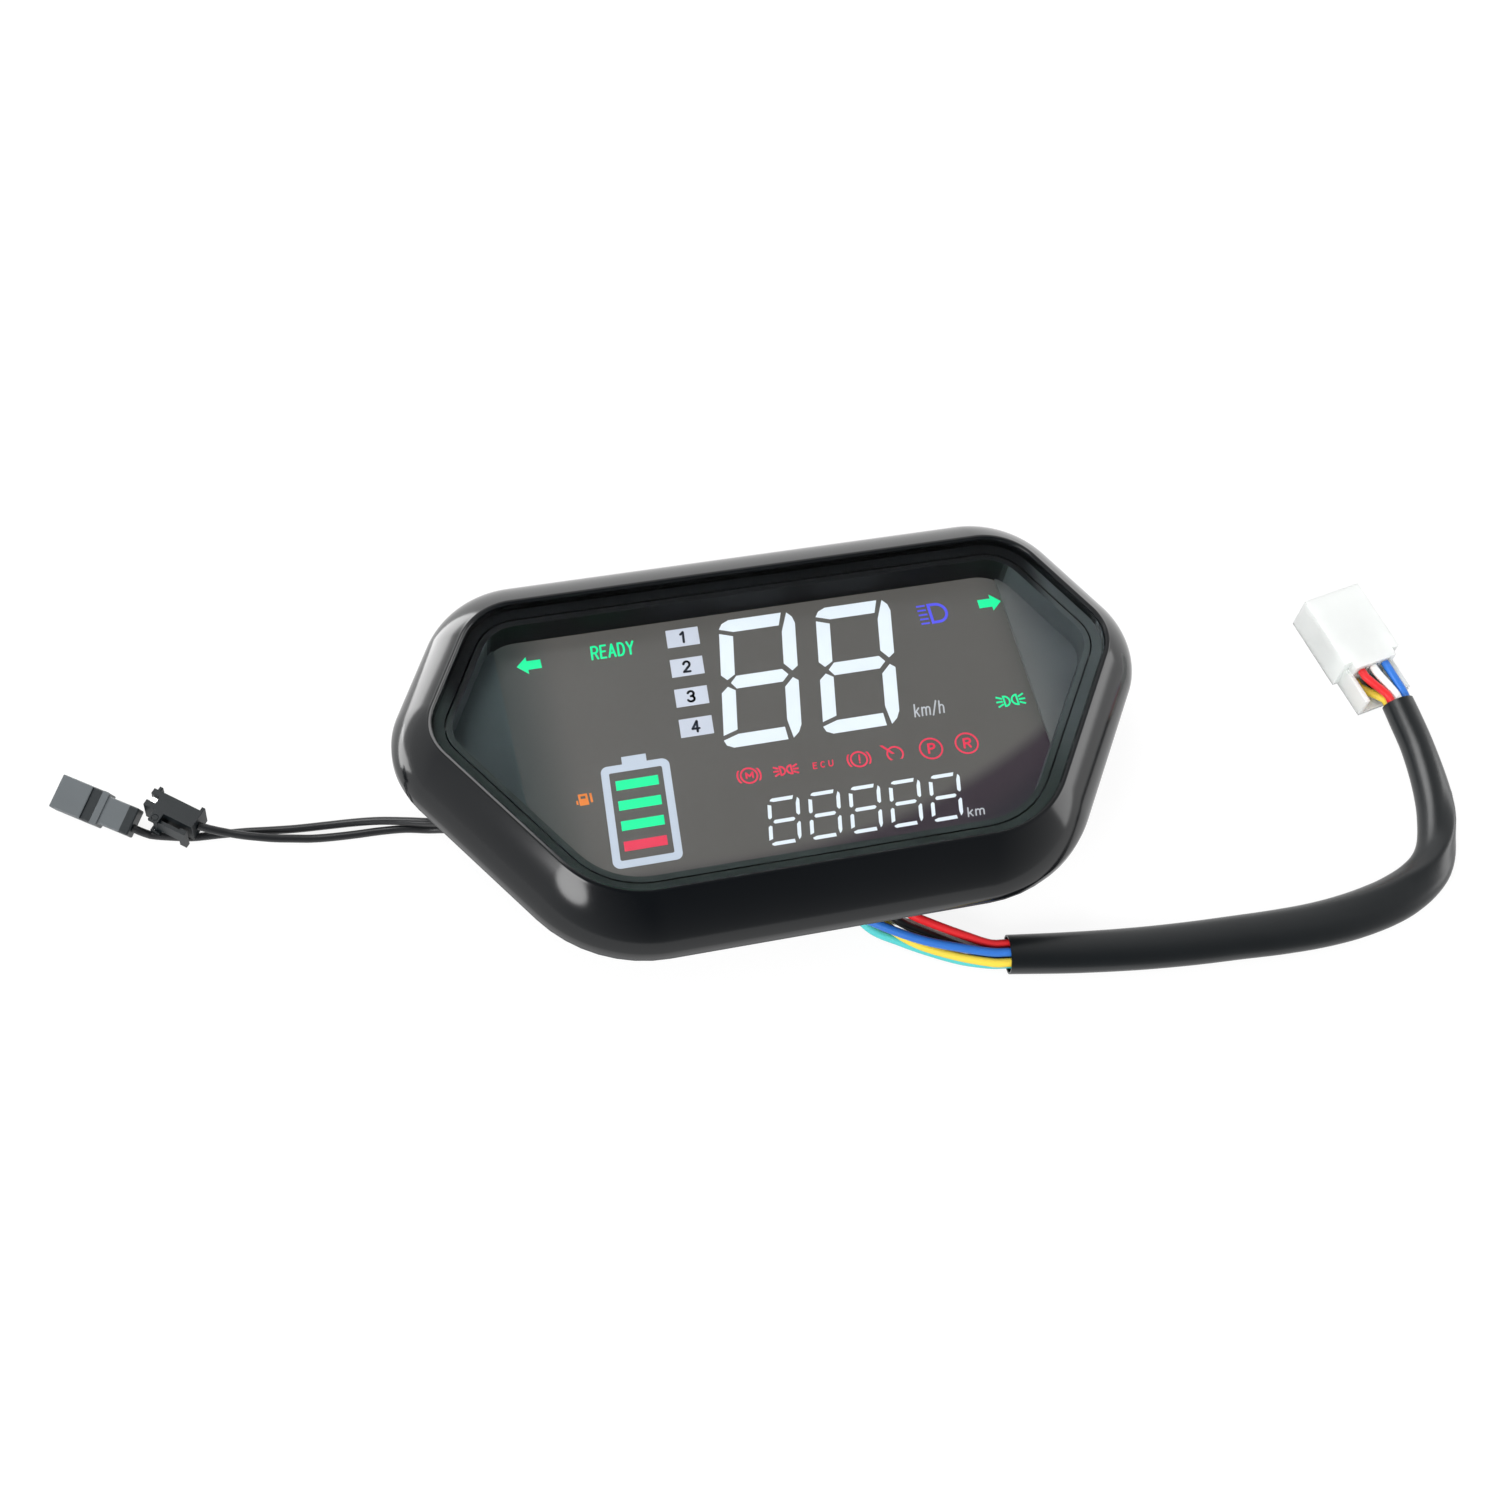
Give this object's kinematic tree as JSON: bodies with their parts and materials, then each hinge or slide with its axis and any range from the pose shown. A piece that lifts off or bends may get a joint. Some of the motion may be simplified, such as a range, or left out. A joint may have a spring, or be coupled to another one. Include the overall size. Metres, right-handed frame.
{
  "type": "motorcycle instrument cluster",
  "caption": "Six-sided instrument cluster with a lit segment display behind a smoked lens, a sleeved harness with a white plug, and two thin sensor leads with small connectors.",
  "frame": {"origin": "middle of the rear housing's flat back, which is also the middle of the cluster's outline, without its leads", "axes": "+X to the right of the display, +Y to its top, +Z out of the display towards the rider"},
  "size_m": [0.3492, 0.124, 0.036],
  "materials": {
    "bezel": "polished black",
    "lens": "clear smoked, polished",
    "black_plastic": "moulded matt black",
    "display": "backlit dark glass",
    "ink_white": "lit white symbols",
    "ink_green": "lit green symbols",
    "ink_red": "lit red symbols",
    "ink_blue": "lit blue symbol",
    "ink_amber": "lit amber symbol",
    "white_plastic": "moulded white",
    "board": "green solder mask",
    "chip": "moulded black",
    "can": "drawn can",
    "tin": "tinned metal",
    "screw_steel": "zinc plated",
    "brass": "turned brass",
    "black_rubber": "moulded rubber",
    "wire_red": "insulation",
    "wire_white": "insulation",
    "wire_blue": "insulation",
    "wire_yellow": "insulation",
    "wire_black": "insulation",
    "wire_green": "insulation",
    "sleeve": "soft sleeve",
    "plug_white": "natural nylon",
    "connector_grey": "moulded dark grey"
  },
  "bodies": {
    "cluster": {"front_bezel": "bezel", "lens": "lens", "lens_tape": "black_rubber", "display_surround": "black_plastic", "display_glass": "display", "display_digits": "ink_white", "mode_boxes": "ink_white", "battery_symbol": "ink_white", "green_symbols": "ink_green", "red_symbols": "ink_red", "blue_symbol": "ink_blue", "amber_symbol": "ink_amber", "diffuser_plate": "white_plastic", "backlight_frame": "white_plastic", "backlight_leds": "white_plastic", "display_pins": "tin", "circuit_board": "board", "controller_chip": "chip", "supply_capacitors": "can", "supply_regulator": "chip", "harness_header": "white_plastic", "sensor_header": "white_plastic", "board_screws": "screw_steel", "housing_seal": "black_rubber", "rear_housing": "black_plastic", "case_screws": "screw_steel", "mount_inserts": "brass", "harness_grommet": "black_rubber", "sensor_grommet": "black_rubber", "wire_red": "wire_red", "wire_white": "wire_white", "wire_blue": "wire_blue", "wire_yellow": "wire_yellow", "wire_black": "wire_black", "wire_green": "wire_green", "harness_sleeve": "sleeve", "main_plug_housing": "plug_white", "main_plug_terminals": "tin", "sensor_lead_a": "wire_black", "sensor_lead_b": "wire_black", "hooded_connector": "connector_grey", "hooded_pins": "tin", "latched_connector": "connector_grey", "latched_contacts": "tin"},
    "latch": {"latch_lever": "connector_grey"}
  },
  "joints": [
    {"name": "latch_press", "type": "hinge", "parent": "cluster", "child": "latch", "pos_m": [-0.15026, 0.01219, 0.0054], "axis": [0, 0, 1], "range_deg": [0, 6], "stiffness_Nm_per_rad": 0.02}
  ]
}
